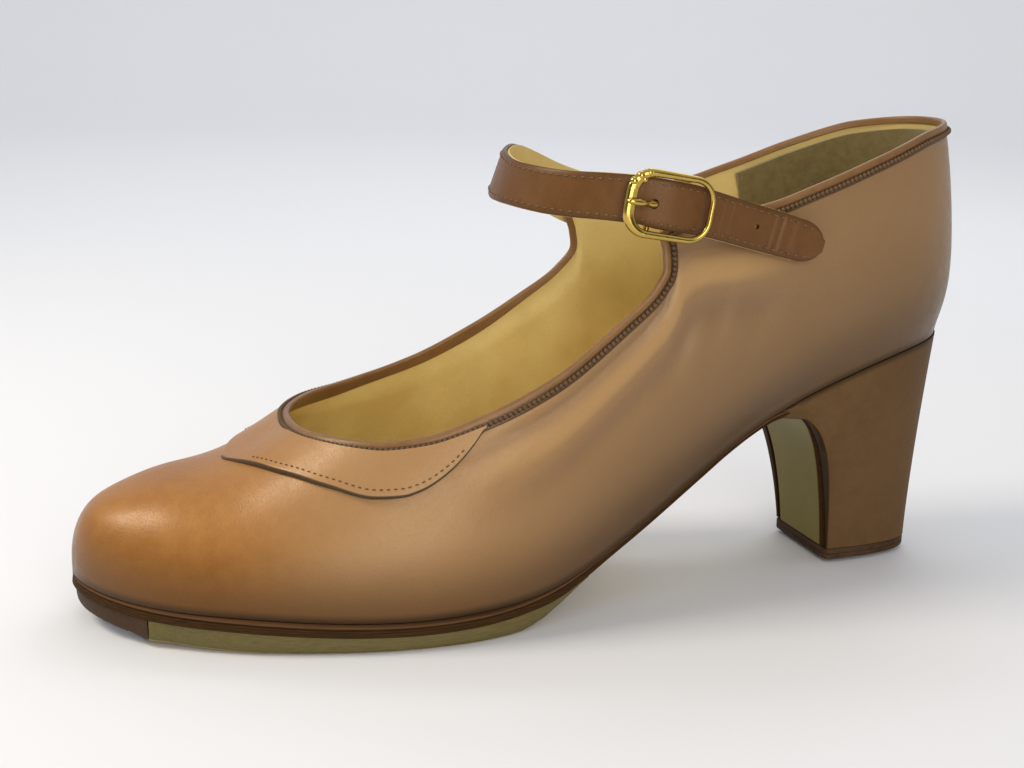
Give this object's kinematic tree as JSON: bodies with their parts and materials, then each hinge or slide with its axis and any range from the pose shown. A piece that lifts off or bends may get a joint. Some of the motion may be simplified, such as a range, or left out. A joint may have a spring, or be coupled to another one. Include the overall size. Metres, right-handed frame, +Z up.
{
  "type": "flamenco shoe",
  "caption": "Left flamenco dance shoe with a lasted leather upper, buckled instep strap, covered heel, leather sole and nailed toe and heel tip.",
  "frame": {"origin": "middle of the box's floor, where the sole and heel stand", "axes": "+X towards the toe, +Y towards the outer (lateral) side, +Z up"},
  "size_m": [0.222, 0.0796, 0.1132],
  "materials": {
    "upper_leather": "smooth full-grain leather with a soft sheen",
    "binding_leather": "smooth, folded",
    "overlay_leather": "smooth, cut edge",
    "insole_leather": "smooth lining leather",
    "outsole_leather": "polished sole leather, edge stained brown",
    "half_sole_leather": "sanded sole leather",
    "toe_piece_leather": "stained sole leather",
    "toe_nail_steel": "worn",
    "heel_cover_leather": "smooth leather cover",
    "lift_leather": "stained sole leather",
    "heel_nail_steel": "worn",
    "strap_leather": "smooth, stitched edges",
    "buckle_brass": "polished",
    "prong_brass": "polished",
    "tab_leather": "smooth"
  },
  "bodies": {
    "root": {"upper": "upper_leather", "topline_binding": "binding_leather", "throat_overlay": "overlay_leather", "insole": "insole_leather", "outsole": "outsole_leather", "half_sole": "half_sole_leather", "toe_piece": "toe_piece_leather", "toe_nails": "toe_nail_steel", "heel_block": "heel_cover_leather", "heel_lift": "lift_leather", "heel_nails": "heel_nail_steel", "strap": "strap_leather", "buckle_frame": "buckle_brass", "buckle_prong": "prong_brass", "buckle_tab": "tab_leather"}
  },
  "joints": []
}
